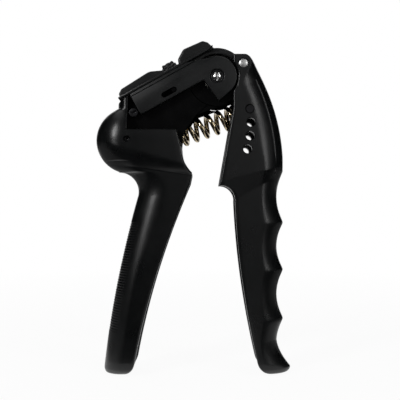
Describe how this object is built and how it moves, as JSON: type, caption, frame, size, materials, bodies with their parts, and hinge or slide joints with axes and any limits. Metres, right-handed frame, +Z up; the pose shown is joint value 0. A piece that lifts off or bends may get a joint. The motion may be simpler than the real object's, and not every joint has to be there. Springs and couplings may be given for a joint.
{
  "type": "hand grip strengthener",
  "caption": "Adjustable hand grip strengthener: hinged palm and finger handles held open by a coil spring, with set-pin holes for resistance and a thumbwheel slide for width.",
  "frame": {"origin": "centre of the bounding box, on the plane through both handle tips", "axes": "+Z up from the tips to the pivot, +X across from the palm handle to the finger handle, +Y through the thickness, away from the viewed side"},
  "size_m": [0.0928, 0.029, 0.1574],
  "materials": {
    "handle_plastic": "satin black moulding",
    "slide_plastic": "satin black moulding",
    "inner_plastic": "matt black moulding",
    "wheel_plastic": "matt black, knurled",
    "pale_plastic": "natural bearing plastic",
    "dark_steel": "black oxide",
    "bright_steel": "polished",
    "spring_steel": "bright plated wire",
    "bronze": "sintered bronze"
  },
  "bodies": {
    "palm": {"palm_handle": "handle_plastic", "slide_arm": "inner_plastic", "arm_grub_screws": "dark_steel", "stop_screws": "dark_steel", "guide_pin": "dark_steel", "leadscrew": "bright_steel", "screw_cross_pin": "bright_steel", "palm_cup_pin": "bright_steel"},
    "slide": {"slide_body": "slide_plastic", "adjuster_cover": "slide_plastic", "wheel_washers": "dark_steel", "pivot_pin": "bright_steel", "pivot_retainers": "dark_steel", "knuckle_washers": "pale_plastic"},
    "wheel": {"thumbwheel": "wheel_plastic"},
    "finger": {"finger_handle": "handle_plastic", "knuckle": "inner_plastic", "knuckle_pin": "bright_steel", "pivot_bush": "bronze", "set_pin": "dark_steel"},
    "cup": {"palm_spring_cup": "inner_plastic"},
    "shoe": {"finger_spring_shoe": "inner_plastic", "compression_spring": "spring_steel"}
  },
  "joints": [
    {"name": "width_slide", "type": "slide", "parent": "palm", "child": "slide", "axis": [0.8746, 0, 0.4848], "range_m": [0, 0.005]},
    {"name": "wheel_turn", "type": "hinge", "parent": "slide", "child": "wheel", "pos_m": [-0.0098, 0, 0.14237], "axis": [0.8746, 0, 0.4848], "range_deg": [0, 901]},
    {"name": "grip_hinge", "type": "hinge", "parent": "slide", "child": "finger", "pos_m": [0.011, 0, 0.1395], "axis": [0, 1, 0], "range_deg": [0, 15], "stiffness_Nm_per_rad": 22.8, "springref_deg": -2.98, "deforming": ["compression_spring"]},
    {"name": "cup_pivot", "type": "hinge", "parent": "palm", "child": "cup", "pos_m": [-0.017, 0, 0.1092], "axis": [0, 1, 0], "range_deg": [0, 2.6]},
    {"name": "shoe_pivot", "type": "hinge", "parent": "finger", "child": "shoe", "pos_m": [0.02629, 0, 0.12451], "axis": [0, 1, 0], "range_deg": [-12.6, 0]}
  ],
  "couplings": [
    {"joint": "wheel_turn", "follows": "width_slide", "rad_per_m": 3141.6},
    {"joint": "cup_pivot", "follows": "grip_hinge", "ratio": 0.1673},
    {"joint": "shoe_pivot", "follows": "grip_hinge", "ratio": -0.8327}
  ]
}
